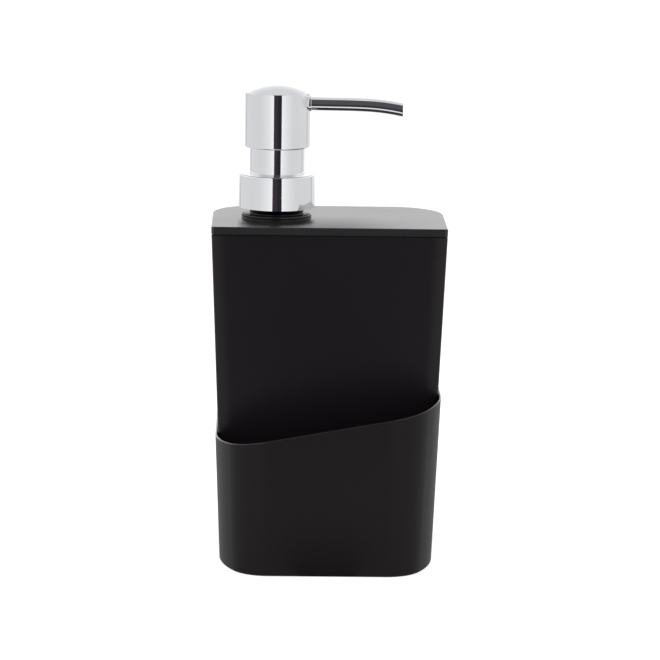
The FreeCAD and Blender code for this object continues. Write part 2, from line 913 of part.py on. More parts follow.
stem = newBody("stem")
outletSeatBottom = stemTop + " - sizes.outletRimRadius + sizes.outletThroat"
revolve(
    stem,
    [
        ("sizes.stemBore", pistonBottom),
        ("sizes.stemRadius", pistonBottom),
        ("sizes.stemRadius", pistonTop),
        ("sizes.stemShoulderRadius", pistonTop),
        ("sizes.stemShoulderRadius", pistonTop + " + sizes.stemShoulder"),
        ("sizes.stemRadius", pistonTop + " + sizes.stemShoulder"),
        ("sizes.stemRadius", stemTop),
        ("sizes.outletRimRadius", stemTop),
        ("sizes.outletThroat", outletSeatBottom),
        ("sizes.outletThroat", outletSeatBottom + " - sizes.outletThroatLength"),
        ("sizes.stemBore", outletSeatBottom + " - sizes.outletThroatLength"),
    ],
)
onPumpAxis(stem, "0")

# Foot plugged into the stem: it carries the piston and takes the spring's upper end

foot = newBody("stem_foot")
footBottom = pistonBottom + " - sizes.footThickness"
footBoss = footBottom + " - sizes.footBossHeight"
plugTop = pistonBottom + " + sizes.footPlug"
footPlugRadius = "sizes.stemBore - sizes.coreSocketGap"
revolve(
    foot,
    [
        ("sizes.footBore", footBoss),
        ("sizes.footBossRadius", footBoss),
        ("sizes.footBossRadius", footBottom),
        ("sizes.footRadius", footBottom),
        ("sizes.footRadius", pistonBottom),
        (footPlugRadius, pistonBottom),
        (footPlugRadius, plugTop),
        ("sizes.footBore", plugTop),
    ],
)
onPumpAxis(foot, "0")

# Outlet ball on the stem's seat

outletBall = doc.addObject("Part::Sphere", "outlet_ball")
outletBall.Label = "outlet_ball"
bind(outletBall, Radius="sizes.outletBallRadius")
onPumpAxis(outletBall, outletBallCentre)

# Core of the head: hub on the stem, outlet chamber, and the socket for spout and ferrule

core = newBody("head_core")
coreSocket = "sizes.stemRadius + sizes.coreSocketGap"
coreRadius = "sizes.headRadius - sizes.headWall - sizes.coreGap"
revolve(
    core,
    [
        (coreSocket, above(hubBottom)),
        ("sizes.hubRadius", above(hubBottom)),
        ("sizes.hubRadius", above(coreBottom)),
        (coreRadius, above(coreBottom)),
        (coreRadius, above(coreTop)),
        ("0", above(coreTop)),
        ("0", "0"),
        ("sizes.corePassage", "0"),
        ("sizes.corePassage", above(outletChamberTop)),
        ("sizes.outletChamber", above(outletChamberTop)),
        ("sizes.outletChamber", above(stemTop)),
        (coreSocket, above(stemTop)),
    ],
)
spoutSocket = "sizes.spoutRadius + sizes.ferruleGap"
ferruleSocket = "sizes.ferruleRadius + sizes.ferruleGap"
revolve(
    core,
    [
        ("0", "0"),
        ("sizes.headRadius", "0"),
        ("sizes.headRadius", ferruleSocket),
        ("sizes.ferruleStart", ferruleSocket),
        ("sizes.ferruleStart", spoutSocket),
        ("sizes.spoutStart", spoutSocket),
        ("sizes.spoutStart", "sizes.spoutRadius - sizes.spoutWall"),
        ("0", "sizes.spoutRadius - sizes.spoutWall"),
    ],
    kind="PartDesign::Groove",
    name="SpoutSocket",
    axis="H_Axis",
)
onPumpAxis(core, spoutLevel, swung=True)

# Metal shell of the head

head = newBody("head_shell")
headBore = "sizes.headRadius - sizes.headWall"
shoulder = "%s + sizes.headHeight" % headBottom
revolve(
    head,
    [
        (headBore, above(headBottom)),
        ("sizes.headRadius", above(headBottom)),
        ("sizes.headRadius", above(shoulder)),
        ("0", above(shoulder + " + sizes.domeRise")),
        ("0", above(coreTop)),
        (headBore, above(coreTop)),
    ],
    domed=2,
)
roundEdges(
    head,
    "HeadLowerRound",
    "sizes.headRound",
    lambda edge: isRing(edge, "sizes.headRadius", above(headBottom)),
)
roundEdges(
    head,
    "HeadShoulderRound",
    "sizes.shoulderRound",
    lambda edge: isRing(edge, "sizes.headRadius", above(shoulder)),
)
holeEnd = "sizes.headRadius + sizes.overrun"
revolve(
    head,
    [
        ("sizes.hubRadius", "0"),
        (holeEnd, "0"),
        (holeEnd, ferruleSocket),
        ("sizes.hubRadius", ferruleSocket),
    ],
    kind="PartDesign::Groove",
    name="SpoutHole",
    axis="H_Axis",
)
onPumpAxis(head, spoutLevel, swung=True)

# Ferrule where the spout leaves the head

ferrule = newBody("spout_ferrule")
revolve(
    ferrule,
    [
        ("sizes.ferruleStart", spoutSocket),
        ("sizes.ferruleReach", spoutSocket),
        ("sizes.ferruleReach", "sizes.ferruleRadius"),
        ("sizes.ferruleStart", "sizes.ferruleRadius"),
    ],
    axis="H_Axis",
)


def isFerruleEnd(edge):
    outer = abs(edge.Curve.Radius - number("sizes.ferruleRadius")) < closeness
    return outer and abs(edge.Curve.Center.x - number("sizes.ferruleReach")) < closeness


roundEdges(
    ferrule,
    "FerruleRound",
    "sizes.ferruleRound",
    lambda edge: isinstance(edge.Curve, Part.Circle) and isFerruleEnd(edge),
)
onPumpAxis(ferrule, spoutLevel, swung=True)

# Spout: straight, then bent down in two tangent arcs, its tip cut upright

spout = newBody("spout_tube")
spine = sketchOn(spout, "SpoutLine", "XZ_Plane")
start, straight = number("sizes.spoutStart"), number("sizes.spoutStraight")
bendRadius, tipRadius = number("sizes.firstBendRadius"), number("sizes.tipBendRadius")
upright = math.pi / 2
bendAngle = upright - math.radians(number("sizes.firstBendTurn"))
tipAngle = bendAngle - math.radians(number("sizes.tipBendTurn"))
tipCentre = (
    straight + (bendRadius - tipRadius) * math.cos(bendAngle),
    (bendRadius - tipRadius) * math.sin(bendAngle) - bendRadius,
)
spine.addGeometry(line((start, 0), (straight, 0)), False)
spine.addGeometry(arc((straight, -bendRadius), bendRadius, bendAngle, upright), False)
spine.addGeometry(arc(tipCentre, tipRadius, tipAngle, bendAngle), False)
spine.addConstraint(Sketcher.Constraint("PointOnObject", 0, 1, -1))
spine.addConstraint(Sketcher.Constraint("Horizontal", 0))
spine.addConstraint(Sketcher.Constraint("Tangent", 0, 2, 1, 2))
spine.addConstraint(Sketcher.Constraint("Tangent", 1, 1, 2, 2))
dimension(spine, "DistanceX", (-1, 1, 0, 1), "sizes.spoutStart")
dimension(spine, "DistanceX", (-1, 1, 0, 2), "sizes.spoutStraight")
dimension(spine, "Radius", (1,), "sizes.firstBendRadius")
dimension(spine, "Radius", (2,), "sizes.tipBendRadius")
dimension(spine, "Angle", (1,), "sizes.firstBendTurn")
dimension(spine, "Angle", (2,), "sizes.tipBendTurn")
ring = sketchOn(spout, "SpoutRing", "YZ_Plane", "sizes.spoutStart")
for index, size in enumerate(("sizes.spoutRadius", "sizes.spoutRadius - sizes.spoutWall")):
    ring.addGeometry(circle((0, 0), number(size)), False)
    ring.addConstraint(Sketcher.Constraint("Coincident", index, 3, -1, 1))
    dimension(ring, "Radius", (index,), size)
doc.recompute()
pipe = spout.newObject("PartDesign::AdditivePipe", "SpoutPipe")
pipe.Profile = ring
pipe.Spine = (spine, [])
doc.recompute()
tipSketch = sketchOn(spout, "TipLine", "XZ_Plane")
tipEnd = "sizes.spoutReach + sizes.tipBendRadius"
cornerOutline(
    tipSketch,
    [
        ("sizes.spoutReach", "-sizes.tipBendRadius"),
        (tipEnd, "-sizes.tipBendRadius"),
        (tipEnd, "sizes.spoutRadius + sizes.overrun"),
        ("sizes.spoutReach", "sizes.spoutRadius + sizes.overrun"),
    ],
)
doc.recompute()
tipCut = spout.newObject("PartDesign::Pocket", "TipCut")
tipCut.Profile = tipSketch
tipCut.SideType = "Symmetric"
bind(tipCut, Length="4 * sizes.spoutRadius")
onPumpAxis(spout, spoutLevel, swung=True)

# Return spring: one wire on a helix whose end turns close up on the cage and the foot


def springKnots():
    """Heights of the wire's centre at each quarter turn, from the spring's lower end."""
    perTurn = int(number("sizes.springKnotCount"))
    ends = int(number("sizes.springEndTurns")) * perTurn
    active = int(number("sizes.springTurns")) * perTurn
    closed = number("sizes.springEndPitch")
    lower = number(springBottom) + number("sizes.springWire")
    upper = number(footBottom + " - sizes.springSeatGap") - number("sizes.springWire")
    # the open turns take what the end turns leave; each change of pitch is spread over one step
    rest = upper - lower - (ends + ends + 1) * closed / perTurn
    opened = rest * perTurn / active
    pitches = [closed] * (ends + 1) + [opened] * active + [closed] * (ends + 1)
    heights = [lower]
    for first, second in zip(pitches, pitches[1:]):
        heights.append(heights[-1] + (first + second) / 2 / perTurn)
    return heights, pitches


def biarc(start, startTurn, end, endTurn):
    """Two arcs that leave start and reach end along unit tangents, as edges."""
    span = end - start
    both = startTurn + endTurn
    a = both.dot(both) - 4
    b = -2 * span.dot(both)
    c = span.dot(span)
    reach = (-b - math.sqrt(b * b - 4 * a * c)) / (a + a)
    middle = (start + startTurn * reach + end - endTurn * reach) * 0.5
    edges = []
    for near, turn, far in ((start, startTurn, middle), (end, endTurn * -1, middle)):
        chord = far - near
        side = (turn - chord * (turn.dot(chord) / chord.dot(chord))).normalize()
        bend = chord.getAngle(turn)
        sagitta = chord.Length / 2 * math.tan(bend / 2)
        crown = near + chord * 0.5 + side * sagitta
        edges.append(Part.Arc(near, crown, far).toShape())
    return edges


def springLine():
    heights, pitches = springKnots()
    radius = number("sizes.springRadius")
    places, turns = [], []
    stepTurn = math.tau / number("sizes.springKnotCount")
    for step, (height, pitch) in enumerate(zip(heights, pitches)):
        angle = step * stepTurn
        places.append(
            FreeCAD.Vector(radius * math.cos(angle), radius * math.sin(angle), height)
        )
        around = FreeCAD.Vector(-math.sin(angle), math.cos(angle), pitch / radius / math.tau)
        turns.append(around.normalize())
    edges = []
    for i in range(len(places) - 1):
        edges += biarc(places[i], turns[i], places[i + 1], turns[i + 1])
    return edges


def springTube(edges):
    start = edges[0]
    place, along = start.valueAt(start.FirstParameter), start.tangentAt(start.FirstParameter)
    section = Part.Circle(place, along, number("sizes.springWire"))
    wire = Part.Wire(Part.__sortEdges__(edges))
    return wire.makePipeShell([Part.Wire(section.toShape())], True, False)


def leastGap(edges, wire):
    """The smallest gap between turns of the wire, measured on points of its centre line."""
    perEdge = int(number("sizes.springPointCount"))
    points = [point for edge in edges for point in edge.discretize(perEdge + 1)[1:]]
    halfTurn = perEdge * int(number("sizes.springKnotCount"))
    nearest = min(
        (points[i] - points[j]).Length
        for i in range(len(points))
        for j in range(i + halfTurn, len(points))
    )
    return nearest - wire - wire


spring = doc.addObject("Part::Feature", "return_spring")
spring.Label = "return_spring"
springEdges = springLine()
spring.Shape = springTube(springEdges)
print("least gap between the spring's turns", leastGap(springEdges, number("sizes.springWire")))
onPumpAxis(spring, "0")
doc.recompute()

# Check every object, then write one file for each piece

nodes = [
    "caddy_cup",
    "base_pad",
    "bottle_body",
    "bottle_lid",
    "lid_seal",
    "neck_gasket",
    "collar_shell",
    "closure_insert",
    "guide_sleeve",
    "pump_housing",
    "housing_cap",
    "dip_tube",
    "inlet_ball",
    "ball_cage",
    "return_spring",
    "piston",
    "stem_foot",
    "stem",
    "outlet_ball",
    "head_core",
    "head_shell",
    "spout_ferrule",
    "spout_tube",
]
for item in doc.Objects:
    assert "Invalid" not in item.State and "Error" not in item.State, item.Label
    if item.isDerivedFrom("Sketcher::SketchObject"):
        assert item.FullyConstrained, item.Label
os.makedirs("parts", exist_ok=True)
for node in nodes:
    piece = doc.getObjectsByLabel(node)[0]
    assert not piece.Shape.isNull(), node
    assert piece.Shape.isValid(), node
    assert len(piece.Shape.Solids) == 1, (node, len(piece.Shape.Solids))
    assert piece.Shape.Volume > 0, node
    piece.Shape.exportStep("parts/%s.step" % node)
    box = piece.Shape.BoundBox
    print(node, [round(v, 2) for v in (box.XMin, box.XMax, box.YMin, box.YMax, box.ZMin, box.ZMax)])
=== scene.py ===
import math

import bpy
from mathutils import Euler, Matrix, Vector


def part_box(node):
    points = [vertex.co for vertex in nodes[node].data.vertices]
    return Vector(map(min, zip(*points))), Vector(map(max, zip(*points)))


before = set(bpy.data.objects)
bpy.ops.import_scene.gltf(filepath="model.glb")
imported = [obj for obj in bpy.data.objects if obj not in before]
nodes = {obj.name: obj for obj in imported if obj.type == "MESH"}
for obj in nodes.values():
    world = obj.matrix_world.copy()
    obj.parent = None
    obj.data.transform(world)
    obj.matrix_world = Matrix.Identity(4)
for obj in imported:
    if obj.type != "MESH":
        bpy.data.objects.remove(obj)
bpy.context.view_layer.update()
print("frame loaded:", len(nodes), "nodes")

# Studio: camera, surroundings, lamps and table

scene = bpy.context.scene
scene.view_settings.view_transform = "Standard"

camera = {
    "target": (0.0009, -0.0035, 0.1002),  # the point the photograph is centred on
    "distance": 1.4,
    "elevation": 10.6,  # degrees above the table
    "azimuth": -1.15,  # degrees to the right of the front
    "roll": 0.83,  # degrees, turning the picture clockwise
    "lens": 174.2,
    "sensor": 36.0,
    "clip": (0.05, 50.0),  # the nearest and farthest distance that it sees
}


def addCamera():
    data = bpy.data.cameras.new("camera")
    data.lens = camera["lens"]
    data.sensor_width = camera["sensor"]
    data.sensor_fit = "HORIZONTAL"
    data.clip_start, data.clip_end = camera["clip"]
    viewer = bpy.data.objects.new("camera", data)
    scene.collection.objects.link(viewer)
    up = math.radians(camera["elevation"])
    around = math.radians(camera["azimuth"])
    reach = math.cos(up)
    away = Vector((math.sin(around) * reach, -math.cos(around) * reach, math.sin(up)))
    viewer.location = Vector(camera["target"]) + away * camera["distance"]
    turn = Euler((math.radians(90) - up, 0, around)).to_matrix()
    roll = Euler((0, 0, math.radians(camera["roll"]))).to_matrix()
    viewer.rotation_euler = (turn @ roll).to_euler()
    scene.camera = viewer


addCamera()

# What mirrors see around the object: a white tent, brightest beside the slit that the camera
# looks through, with a darker seam low down on each side of its backdrop, and the dark room
# behind that slit.
surround = {
    "tentFront": (-0.1045, -0.9945, 0.0),  # the level direction of the tent's middle
    "tentStops": (  # place from the backdrop (0) round to the front (1), and the tone there
        (0.0, 0.86),
        (0.08, 0.84),
        (0.168, 0.79),
        (0.50, 0.77),
        (0.66, 0.76),
        (1.0, 0.80),
    ),
    "seamStops": (  # the same places, and the share of light that the seam leaves
        (0.108, 1.0),
        (0.130, 0.64),
        (0.142, 0.64),
        (0.168, 1.0),
    ),
    "slitFront": (0.0, -1.0, 0.0),  # the level direction of the slit's middle
    "slitSide": (1.0, 0.0, 0.0),
    "glowStops": (  # place from opposite the slit (0) round to it (1), and the glow there
        (0.0, 0.69),
        (0.78, 0.69),
        (0.87, 0.74),
        (0.933, 0.79),
        (0.975, 0.87),
        (0.986, 1.0),
    ),
    "glowScale": 1.45,
    "slitStart": 0.9830,  # the places where the tent begins to give way to the slit, and ends
    "slitEnd": 0.9864,
    "roomLeft": (0.050, 0.030, 0.048, 1.0),
    "roomRight": (0.020, 0.024, 0.027, 1.0),
    "roomBlend": (-0.03, 0.03),  # how far to the side the room's two tones blend
}


def addMath(tree, operation, *values):
    node = tree.nodes.new("ShaderNodeMath")
    node.operation = operation
    for place, value in enumerate(values):
        if value is not None:
            node.inputs[place].default_value = value
    return node


def addVector(tree, operation, value=None):
    node = tree.nodes.new("ShaderNodeVectorMath")
    node.operation = operation
    if value is not None:
        node.inputs[1].default_value = value
    return node


def addRange(tree, low, high, outLow=0.0, outHigh=1.0):
    node = tree.nodes.new("ShaderNodeMapRange")
    node.inputs["From Min"].default_value = low
    node.inputs["From Max"].default_value = high
    node.inputs["To Min"].default_value = outLow
    node.inputs["To Max"].default_value = outHigh
    return node


def addMix(tree, first=None, second=None):
    node = tree.nodes.new("ShaderNodeMix")
    node.data_type = "RGBA"
    if first is not None:
        node.inputs["A"].default_value = first
    if second is not None:
        node.inputs["B"].default_value = second
    return node


def addRamp(tree, stops):
    node = tree.nodes.new("ShaderNodeValToRGB")
    ramp = node.color_ramp
    while len(ramp.elements) < len(stops):
        ramp.elements.new(0.5)  # anywhere, for now
    for element, (place, value) in zip(ramp.elements, stops):
        element.position = place
        element.color = (value, value, value, 1)
    return node


def buildSurround():
    group = bpy.data.node_groups.new("studioSurround", "ShaderNodeTree")
    group.interface.new_socket("Direction", in_out="INPUT", socket_type="NodeSocketVector")
    group.interface.new_socket("Tent", in_out="OUTPUT", socket_type="NodeSocketColor")
    group.interface.new_socket("Seamed Tent", in_out="OUTPUT", socket_type="NodeSocketColor")
    group.interface.new_socket("Room", in_out="OUTPUT", socket_type="NodeSocketColor")
    group.interface.new_socket("Slit", in_out="OUTPUT", socket_type="NodeSocketFloat")
    given = group.nodes.new("NodeGroupInput")
    out = group.nodes.new("NodeGroupOutput")
    level = addVector(group, "MULTIPLY", (1, 1, 0))  # leaves the direction's height out
    unit = addVector(group, "NORMALIZE")
    tentSide = addVector(group, "DOT_PRODUCT", surround["tentFront"])
    toward = addVector(group, "DOT_PRODUCT", surround["slitFront"])
    aside = addVector(group, "DOT_PRODUCT", surround["slitSide"])
    tentPlace = addRange(group, -1, 1)  # cosines become places from 0 to 1
    around = addRange(group, -1, 1)
    tent = addRamp(group, surround["tentStops"])
    seam = addRamp(group, surround["seamStops"])
    glow = addRamp(group, surround["glowStops"])
    lit = addVector(group, "MULTIPLY")
    scaled = addVector(group, "SCALE")
    scaled.inputs["Scale"].default_value = surround["glowScale"]
    seamed = addVector(group, "MULTIPLY")
    side = addRange(group, *surround["roomBlend"])
    room = addMix(group, surround["roomLeft"], surround["roomRight"])
    slit = addRange(group, surround["slitStart"], surround["slitEnd"])
    link = group.links.new
    link(given.outputs["Direction"], level.inputs[0])
    link(level.outputs["Vector"], unit.inputs[0])
    link(unit.outputs["Vector"], tentSide.inputs[0])
    link(unit.outputs["Vector"], toward.inputs[0])
    link(unit.outputs["Vector"], aside.inputs[0])
    link(tentSide.outputs["Value"], tentPlace.inputs["Value"])
    link(tentPlace.outputs["Result"], tent.inputs["Fac"])
    link(tentPlace.outputs["Result"], seam.inputs["Fac"])
    link(toward.outputs["Value"], around.inputs["Value"])
    link(around.outputs["Result"], glow.inputs["Fac"])
    link(around.outputs["Result"], slit.inputs["Value"])
    link(aside.outputs["Value"], side.inputs["Value"])
    link(side.outputs["Result"], room.inputs["Factor"])
    link(tent.outputs["Color"], lit.inputs[0])
    link(glow.outputs["Color"], lit.inputs[1])
    link(lit.outputs["Vector"], scaled.inputs[0])
    link(scaled.outputs["Vector"], out.inputs["Tent"])
    link(scaled.outputs["Vector"], seamed.inputs[0])
    link(seam.outputs["Color"], seamed.inputs[1])
    link(seamed.outputs["Vector"], out.inputs["Seamed Tent"])
    link(room.outputs["Result"], out.inputs["Room"])
    link(slit.outputs["Result"], out.inputs["Slit"])
    return group


surroundGroup = buildSurround()

sky = {
    "fill": 0.40,  # the even light that dull surfaces get from the tent
    "lift": (  # height above the horizon as a sine, and the backdrop's share of its glow there
        (0.0, 0.98),
        (0.21, 0.92),
        (0.50, 0.60),
        (0.71, 0.50),
        (1.0, 0.50),
    ),
    "liftScale": 1.8,
    "backdrop": (-0.5, 0.1),  # how far back a direction points where the glow sets in
    "slitSides": (0.232, 0.259),  # the slit's half width, as a share of a direction's length
    "slitTop": (0.10, 0.20),  # how far a direction must point to the front to meet the slit
    "room": (0.085, 0.085, 0.088, 1.0),  # the room above the table's level, through the slit
}


def buildWorld():
    tent = bpy.data.worlds.new("studioTent")
    scene.world = tent
    tent.use_nodes = True
    tree = tent.node_tree
    tree.nodes.clear()
    output = tree.nodes.new("ShaderNodeOutputWorld")
    # The camera sees plain white, mirrors see the tent, and all else gets an even light
    seen = tree.nodes.new("ShaderNodeBackground")
    seen.inputs["Color"].default_value = (1, 1, 1, 1)
    mirrored = tree.nodes.new("ShaderNodeBackground")
    lighting = tree.nodes.new("ShaderNodeBackground")
    lighting.inputs["Color"].default_value = (1, 1, 1, 1)
    lighting.inputs["Strength"].default_value = sky["fill"]
    direction = tree.nodes.new("ShaderNodeTexCoord")
    parts = tree.nodes.new("ShaderNodeSeparateXYZ")
    around = tree.nodes.new("ShaderNodeGroup")
    around.node_tree = surroundGroup
    lift = addRamp(tree, sky["lift"])
    lifted = addVector(tree, "MULTIPLY")
    scaled = addVector(tree, "SCALE")
    scaled.inputs["Scale"].default_value = sky["liftScale"]
    behind = addRange(tree, *sky["backdrop"])
    backdrop = addMix(tree)
    aside = addVector(tree, "DOT_PRODUCT", surround["slitSide"])
    off = addMath(tree, "ABSOLUTE")
    within = addRange(tree, *sky["slitSides"], 1.0, 0.0)
    toward = addVector(tree, "DOT_PRODUCT", surround["slitFront"])
    ahead = addRange(tree, *sky["slitTop"])
    slit = addMath(tree, "MULTIPLY")
    tone = addMix(tree, None, sky["room"])
    path = tree.nodes.new("ShaderNodeLightPath")
    glossy = tree.nodes.new("ShaderNodeMixShader")
    final = tree.nodes.new("ShaderNodeMixShader")
    link = tree.links.new
    link(direction.outputs["Generated"], around.inputs["Direction"])
    link(direction.outputs["Generated"], parts.inputs["Vector"])
    link(parts.outputs["Z"], lift.inputs["Fac"])
    link(direction.outputs["Generated"], aside.inputs[0])
    link(direction.outputs["Generated"], toward.inputs[0])
    link(aside.outputs["Value"], off.inputs[0])
    link(off.outputs["Value"], within.inputs["Value"])
    link(toward.outputs["Value"], ahead.inputs["Value"])
    link(around.outputs["Tent"], lifted.inputs[0])
    link(lift.outputs["Color"], lifted.inputs[1])
    link(lifted.outputs["Vector"], scaled.inputs[0])
    link(parts.outputs["Y"], behind.inputs["Value"])
    link(behind.outputs["Result"], backdrop.inputs["Factor"])
    link(around.outputs["Tent"], backdrop.inputs["A"])
    link(scaled.outputs["Vector"], backdrop.inputs["B"])
    link(within.outputs["Result"], slit.inputs[0])
    link(ahead.outputs["Result"], slit.inputs[1])
    link(slit.outputs["Value"], tone.inputs["Factor"])
    link(backdrop.outputs["Result"], tone.inputs["A"])
    link(tone.outputs["Result"], mirrored.inputs["Color"])
    link(path.outputs["Is Glossy Ray"], glossy.inputs["Fac"])
    link(lighting.outputs["Background"], glossy.inputs[1])
    link(mirrored.outputs["Background"], glossy.inputs[2])
    link(path.outputs["Is Camera Ray"], final.inputs["Fac"])
    link(glossy.outputs["Shader"], final.inputs[1])
    link(seen.outputs["Background"], final.inputs[2])
    link(final.outputs["Shader"], output.inputs["Surface"])


buildWorld()

lamps = {
    "keyLeft": {"place": (-0.9, -0.6, 0.75), "size": (0.9, 1.1), "power": 4.0},
    "fillRight": {"place": (1.0, -0.4, 0.6), "size": (0.7, 1.0), "power": 3.0},
    "top": {"place": (0.0, 0.1, 1.3), "size": (1.2, 1.2), "power": 4.0},
}
lampAim = (0.0, 0.0, 0.09)  # the point that every lamp faces


def addLamps():
    for name, lamp in lamps.items():
        data = bpy.data.lights.new(name, "AREA")
        data.shape = "RECTANGLE"
        data.size, data.size_y = lamp["size"]
        data.energy = lamp["power"]
        box = bpy.data.objects.new(name, data)
        scene.collection.objects.link(box)
        box.location = lamp["place"]
        toward = Vector(lampAim) - box.location
        box.rotation_euler = toward.to_track_quat("-Z", "Y").to_euler()
        box.visible_glossy = False


addLamps()

table = {
    "halfSize": 4.0,
    "color": (0.80, 0.80, 0.80, 1.0),
    "glow": 0.74,  # the white that the camera sees on top of the light the paper gets
    "bounce": 0.38,  # the light that the paper adds to dull surfaces
    "nearColor": (0.66, 0.66, 0.66, 1.0),  # the lit paper beside the object, in mirrors
    "nearEnd": 0.07,  # metres from the middle to where its tone begins to turn into the tent's
    "farStart": 0.14,  # and to where only the tent's is left
    "stripColor": (0.95, 0.95, 0.95, 1.0),  # the lit strip of paper inside the slit
    "stripRise": (0.085, 0.105),  # metres from the middle, where that strip sets in
    "stripFall": (0.220, 0.260),  # and where it fades again
}


def addTable():
    bpy.ops.object.select_all(action="DESELECT")
    bpy.ops.mesh.primitive_plane_add(size=2 * table["halfSize"], location=(0, 0, 0))
    top = bpy.context.object
    top.name = "tableTop"
    finish = bpy.data.materials.new("tablePaper")
    finish.use_nodes = True
    tree = finish.node_tree
    tree.nodes.clear()
    output = tree.nodes.new("ShaderNodeOutputMaterial")
    paper = tree.nodes.new("ShaderNodeBsdfDiffuse")
    paper.inputs["Color"].default_value = table["color"]
    glow = tree.nodes.new("ShaderNodeEmission")
    path = tree.nodes.new("ShaderNodeLightPath")
    seen = addMath(tree, "MULTIPLY", None, table["glow"])
    bounced = addMath(tree, "MULTIPLY", None, table["bounce"])
    amount = addMath(tree, "ADD")
    lit = tree.nodes.new("ShaderNodeAddShader")
    place = tree.nodes.new("ShaderNodeTexCoord")
    away = addVector(tree, "LENGTH")
    far = addRange(tree, table["nearEnd"], table["farStart"])
    rise = addRange(tree, *table["stripRise"])
    fall = addRange(tree, *table["stripFall"], 1.0, 0.0)
    strip = addMath(tree, "MULTIPLY")
    around = tree.nodes.new("ShaderNodeGroup")
    around.node_tree = surroundGroup
    sideTone = addMix(tree, table["nearColor"])
    slitTone = addMix(tree, None, table["stripColor"])
    mirrorTone = addMix(tree)
    mirrored = tree.nodes.new("ShaderNodeEmission")
    inMirror = addMath(tree, "MAXIMUM")
    final = tree.nodes.new("ShaderNodeMixShader")
    link = tree.links.new
    link(path.outputs["Is Camera Ray"], seen.inputs[0])
    link(path.outputs["Is Diffuse Ray"], bounced.inputs[0])
    link(seen.outputs["Value"], amount.inputs[0])
    link(bounced.outputs["Value"], amount.inputs[1])
    link(amount.outputs["Value"], glow.inputs["Strength"])
    link(paper.outputs["BSDF"], lit.inputs[0])
    link(glow.outputs["Emission"], lit.inputs[1])
    link(place.outputs["Object"], away.inputs[0])
    link(place.outputs["Object"], around.inputs["Direction"])
    link(away.outputs["Value"], far.inputs["Value"])
    link(away.outputs["Value"], rise.inputs["Value"])
    link(away.outputs["Value"], fall.inputs["Value"])
    link(rise.outputs["Result"], strip.inputs[0])
    link(fall.outputs["Result"], strip.inputs[1])
    link(far.outputs["Result"], sideTone.inputs["Factor"])
    link(around.outputs["Seamed Tent"], sideTone.inputs["B"])
    link(strip.outputs["Value"], slitTone.inputs["Factor"])
    link(around.outputs["Room"], slitTone.inputs["A"])
    link(around.outputs["Slit"], mirrorTone.inputs["Factor"])
    link(sideTone.outputs["Result"], mirrorTone.inputs["A"])
    link(slitTone.outputs["Result"], mirrorTone.inputs["B"])
    link(mirrorTone.outputs["Result"], mirrored.inputs["Color"])
    link(path.outputs["Is Glossy Ray"], inMirror.inputs[0])
    link(path.outputs["Is Transmission Ray"], inMirror.inputs[1])
    link(inMirror.outputs["Value"], final.inputs["Fac"])
    link(lit.outputs["Shader"], final.inputs[1])
    link(mirrored.outputs["Emission"], final.inputs[2])
    link(final.outputs["Shader"], output.inputs["Surface"])
    top.data.materials.append(finish)


addTable()
print("studio ready")

# Effects that the finishes share. The first is a fine grain, with the soft clouds that moulding
# or handling leaves in a surface's polish.
grain = {
    "inputs": ("Grain Scale", "Cloud Scale", "Roughness", "Variation"),  # each look gives them
    "outputs": ("Height", "Roughness"),
    "fineDetail": 3,
    "cloudDetail": 4,
    "cloudMiddle": 0.5,  # the noise that leaves the roughness as it is given
}


def newGroup(name, inputs, outputs):
    group = bpy.data.node_groups.new(name, "ShaderNodeTree")
    for label in inputs:
        group.interface.new_socket(label, in_out="INPUT", socket_type="NodeSocketFloat")
    for label in outputs:
        group.interface.new_socket(label, in_out="OUTPUT", socket_type="NodeSocketFloat")
    return group, group.nodes.new("NodeGroupOutput")


def buildGrain():
    group, out = newGroup("mouldedGrain", grain["inputs"], grain["outputs"])
    given = group.nodes.new("NodeGroupInput")
    place = group.nodes.new("ShaderNodeTexCoord")
    fine = group.nodes.new("ShaderNodeTexNoise")
    fine.inputs["Detail"].default_value = grain["fineDetail"]
    cloud = group.nodes.new("ShaderNodeTexNoise")
    cloud.inputs["Detail"].default_value = grain["cloudDetail"]
    centred = addMath(group, "SUBTRACT", None, grain["cloudMiddle"])
    scaled = addMath(group, "MULTIPLY")
    added = addMath(group, "ADD")
    link = group.links.new
    link(place.outputs["Object"], fine.inputs["Vector"])
    link(place.outputs["Object"], cloud.inputs["Vector"])
    link(given.outputs["Grain Scale"], fine.inputs["Scale"])
    link(given.outputs["Cloud Scale"], cloud.inputs["Scale"])
    link(cloud.outputs["Fac"], centred.inputs[0])
    link(centred.outputs["Value"], scaled.inputs[0])
    link(given.outputs["Variation"], scaled.inputs[1])
    link(scaled.outputs["Value"], added.inputs[0])
    link(given.outputs["Roughness"], added.inputs[1])
    link(added.outputs["Value"], out.inputs["Roughness"])
    link(fine.outputs["Fac"], out.inputs["Height"])
    return group


grainGroup = buildGrain()

# The vertical edges of the bottle's flat front, which bend back softly beside their fillets
pillow = {
    "halfWidth": 0.04545,  # the bottle's half width at the table's level
    "draft": 0.04016,  # how much wider it grows per length upwards
    "reach": 0.0068,  # how far in from the edge the bend begins
    "depth": 0.0006,
    "power": 2.0,
    "fade": (-0.012, 0.030),  # where it ends, towards the back
}


